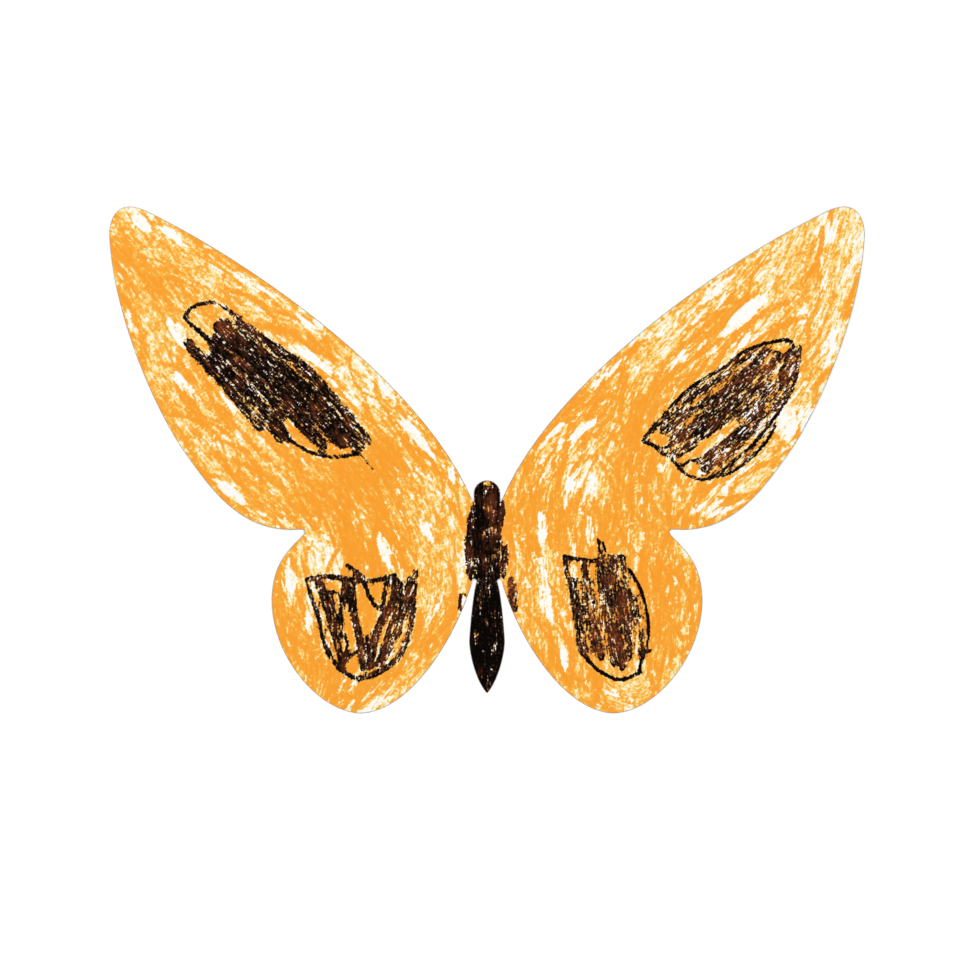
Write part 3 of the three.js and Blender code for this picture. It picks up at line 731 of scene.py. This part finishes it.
class Nodes:
    """Builds a material's nodes."""

    def __init__(self, name, roughness, specular):
        self.material = bpy.data.materials.new(name)
        self.material.use_nodes = True
        self.tree = self.material.node_tree
        self.shader = self.tree.nodes["Principled BSDF"]
        self.shader.inputs["Roughness"].default_value = roughness
        self.shader.inputs["Specular IOR Level"].default_value = specular

    def put(self, target, value):
        if isinstance(value, bpy.types.NodeSocket):
            self.tree.links.new(value, target)
        else:
            target.default_value = value

    def attribute(self, name):
        node = self.tree.nodes.new("ShaderNodeAttribute")
        node.attribute_name = name
        return node.outputs

    def maths(self, operation, a, b=0.0, clamp=False):
        node = self.tree.nodes.new("ShaderNodeMath")
        node.operation = operation
        node.use_clamp = clamp
        self.put(node.inputs[0], a)
        self.put(node.inputs[1], b)
        return node.outputs[0]

    def noise(self, place, size, detail=2.0):
        """A noise from 0 to 1 with blots of that size in millimetres."""
        node = self.tree.nodes.new("ShaderNodeTexNoise")
        self.put(node.inputs["Vector"], place)
        node.inputs["Scale"].default_value = 1 / size
        node.inputs["Detail"].default_value = detail
        return node.outputs["Fac"]

    def about(self, value, noise, amount):
        """The value, with the noise's ups and downs added to it."""
        return self.maths("ADD", value, self.maths("MULTIPLY", self.maths("SUBTRACT", noise, 0.5), amount))

    def step(self, value, low, high):
        node = self.tree.nodes.new("ShaderNodeMapRange")
        node.interpolation_type = "SMOOTHSTEP"
        self.put(node.inputs["Value"], value)
        node.inputs["From Min"].default_value = low
        node.inputs["From Max"].default_value = high
        return node.outputs["Result"]

    def ramp(self, value, stops):
        node = self.tree.nodes.new("ShaderNodeValToRGB")
        elements = node.color_ramp.elements
        while len(elements) < len(stops):
            elements.new(0.5)
        for element, (position, colour) in zip(elements, stops):
            element.position = position
            element.color = colour
        self.put(node.inputs["Fac"], value)
        return node.outputs["Color"]

    def mix(self, share, a, b):
        node = self.tree.nodes.new("ShaderNodeMix")
        node.data_type = "RGBA"
        colour_a, colour_b, result = node.inputs[6], node.inputs[7], node.outputs[2]
        self.put(node.inputs["Factor"], share)
        self.put(colour_a, a)
        self.put(colour_b, b)
        return result

    def bump(self, height, distance):
        node = self.tree.nodes.new("ShaderNodeBump")
        node.inputs["Distance"].default_value = distance * MM
        node.inputs["Strength"].default_value = 1.0
        self.put(node.inputs["Height"], height)
        self.put(self.shader.inputs["Normal"], node.outputs["Normal"])

    def finish(self, colour, roughness=None):
        self.put(self.shader.inputs["Base Color"], colour)
        if roughness is not None:
            self.put(self.shader.inputs["Roughness"], roughness)
        return self.material


def card_colour(nodes, place):
    """White card with faint fibres."""
    fibres = nodes.noise(place, 0.5, 3)
    cloud = nodes.noise(place, 9, 1)
    light = nodes.about(nodes.about(0.6, fibres, 0.5), cloud, 0.4)
    return nodes.ramp(light, [(0.2, shade(250, 247, 241)), (0.8, shade(255, 254, 251))]), fibres


CARD_ROUGHNESS = 0.85


def card_material():
    nodes = Nodes("white_card", CARD_ROUGHNESS, 0.2)
    place = nodes.attribute("place")["Vector"]
    colour, fibres = card_colour(nodes, place)
    nodes.bump(fibres, 0.015)
    return nodes.finish(colour)


# Painted shade: the cut edge's bevel is coloured mid grey, much darker than the white card it is cut from,
# to stand for the thin shade line along the card's edge.
def painted_edge_shade_material():
    nodes = Nodes("painted_edge_shade", 0.9, 0.2)
    place = nodes.attribute("place")["Vector"]
    fibres = nodes.noise(place, 0.3, 3)
    nodes.bump(fibres, 0.03)
    return nodes.finish(nodes.ramp(fibres, [(0.3, shade(96, 95, 92)), (0.7, shade(150, 148, 143))]))


def crayon_material(name, roughness, specular):
    """Crayon over white card: orange below, black or brown above, as the paint says."""
    nodes = Nodes(name, roughness, specular)
    place = nodes.attribute("place")["Vector"]
    wax = nodes.attribute("wax")
    split = nodes.tree.nodes.new("ShaderNodeSeparateColor")
    nodes.put(split.inputs[0], wax["Color"])
    orange_wax, dark_wax, brown_wax = split.outputs
    tooth = nodes.noise(place, 0.42, 2)
    fine = nodes.noise(place, 0.26, 2)
    patch = nodes.noise(place, 5, 2)

    card, _ = card_colour(nodes, place)
    thick_orange = nodes.about(orange_wax, tooth, 0.5)
    thin_to_solid = nodes.ramp(
        nodes.about(thick_orange, patch, 0.12),
        [
            (0.0, shade(252, 230, 162)),
            (0.09, shade(251, 214, 124)),
            (0.19, shade(250, 189, 80)),
            (0.34, shade(249, 166, 50)),
            (0.64, shade(248, 157, 38)),
        ],
    )
    deep = nodes.mix(nodes.maths("MULTIPLY", wax["Alpha"], 0.75), thin_to_solid, shade(253, 151, 26))
    coloured = nodes.mix(nodes.step(thick_orange, -0.28, 0.04), card, deep)

    thick_dark = nodes.about(dark_wax, fine, 0.55)
    black = nodes.ramp(
        thick_dark,
        [
            (0.0, shade(128, 88, 64)),
            (0.12, shade(80, 52, 35)),
            (0.27, shade(36, 22, 14)),
            (0.48, shade(4, 1, 0)),
        ],
    )
    browns = nodes.ramp(
        thick_dark,
        [(0.0, shade(190, 94, 38)), (0.18, shade(144, 72, 36)), (0.48, shade(80, 40, 22))],
    )
    dark_colour = nodes.mix(brown_wax, black, browns)
    dark_share = nodes.step(thick_dark, -0.12, 0.1)
    colour = nodes.mix(dark_share, coloured, dark_colour)
    over_0 = [nodes.maths("MAXIMUM", thick, 0.0) for thick in (thick_orange, thick_dark)]
    height = nodes.maths("ADD", *over_0)
    nodes.bump(height, 0.05)
    smoother = nodes.maths("MULTIPLY", nodes.step(height, 0.0, 0.4), CARD_ROUGHNESS - roughness)
    return nodes.finish(colour, nodes.maths("SUBTRACT", CARD_ROUGHNESS, smoother))


def floor_material():
    nodes = Nodes("studio_floor", 0.9, 0.1)
    place = nodes.tree.nodes.new("ShaderNodeTexCoord").outputs["Object"]
    cloud = nodes.noise(place, 0.4, 1)
    return nodes.finish(nodes.ramp(cloud, [(0.3, (0.92, 0.92, 0.92, 1)), (0.7, (0.94, 0.94, 0.94, 1))]))


# ---------------------------------------------------------------------------------------------------------
# The pieces.

card = card_material()
painted_edge_shade = painted_edge_shade_material()
orange_crayon = crayon_material("orange_crayon", 0.55, 0.12)
black_crayon = crayon_material("black_crayon", 0.5, 0.02)
brown_crayon = crayon_material("brown_crayon", 0.5, 0.03)
crayons = {"orange_wax": orange_crayon, "black_wax": black_crayon, "brown_wax": brown_crayon}


def stand_for(piece, node, body):
    """Puts a piece on its body, in a CAD node's place."""
    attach(piece, body)
    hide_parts(node)


panels = {"body": (body_loop, body_side)}
panels.update({f"{side}_wing": (wing_loops[side], wing_side) for side in SIDES})
waxed_areas = {}
for body, (loop, straight) in panels.items():
    rim = inset(divided(loop, 1.0), WAX_SETBACK, straight)
    region = fill([rim])
    waxed_areas[body] = (rim, region)
    sheet = sheet_of_card(f"{body}_card_sheet", loop, region, straight, [card, painted_edge_shade])
    stand_for(sheet, f"{body}_card", body)
    stride = 1 if body == "body" else 2
    coat = skin(f"{body}_orange_coat", region, orange_height, stride, orange_crayon, rim)
    stand_for(coat, f"{body}_orange_wax", body)

for mark in MARKS:
    rim, region = waxed_areas[mark.body]
    if mark.body == "body":
        coat = skin("body_black_coat", region, dark_height, 1, crayons[mark.slot], rim)
    else:
        near = mark_areas[mark.node]
        # A mark at the crease runs on to the strip's edge.
        beside = (np.abs(np.abs(X) - wing_side) < 0.6) & (np.roll(near, 4, 1) | np.roll(near, -4, 1))
        coat = skin(f"{mark.node}_coat", (near | beside) & region, dark_height, 1, crayons[mark.slot])
    stand_for(coat, mark.node, mark.body)

for side, sign in SIDES.items():
    strip = crease_strip(f"{side}_crease", sign, black_crayon)
    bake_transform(strip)


# ---------------------------------------------------------------------------------------------------------
# The studio.

FLOOR_REACH = 6
FLOOR_Z = -5e-5  # just clear of the card's underside
floor_mesh = bpy.data.meshes.new("floor")
floor_corners = [(-1, -1), (1, -1), (1, 1), (-1, 1)]
floor_mesh.from_pydata(
    [(x * FLOOR_REACH, y * FLOOR_REACH, FLOOR_Z) for x, y in floor_corners], [], [(0, 1, 2, 3)]
)
floor_mesh.materials.append(floor_material())
floor = bpy.data.objects.new("floor", floor_mesh)
bpy.context.scene.collection.objects.link(floor)

world = bpy.data.worlds.new("studio")
bpy.context.scene.world = world
world.use_nodes = True
background = world.node_tree.nodes["Background"]
background.inputs["Color"].default_value = (1.0, 1.0, 1.0, 1)
background.inputs["Strength"].default_value = 1.03


PANEL_SIZE = 0.7
PANEL_AWAY = 0.9


def soft_light(name, azimuth, power):
    """A large panel 45 degrees up, as high as it is far away, turned to the object."""
    data = bpy.data.lights.new(name, "AREA")
    data.size = PANEL_SIZE
    data.energy = power
    light = bpy.data.objects.new(name, data)
    a = math.radians(azimuth)
    light.location = (PANEL_AWAY * math.cos(a), PANEL_AWAY * math.sin(a), PANEL_AWAY)
    light.rotation_euler = (0, math.radians(45), a)
    bpy.context.scene.collection.objects.link(light)


soft_light("key_light", 125, 4.3)
soft_light("fill_light", -35, 2.6)

# The camera looks straight down, as the photo's does, with the butterfly in the photo's place in the frame.
camera_data = bpy.data.cameras.new("camera")
camera_data.lens = 100
camera_data.sensor_width = 36
camera = bpy.data.objects.new("camera", camera_data)
bpy.context.scene.collection.objects.link(camera)
camera.location = (-0.002318, 0.020364, 0.8834)
bpy.context.scene.camera = camera

bpy.context.scene.view_settings.view_transform = "Standard"
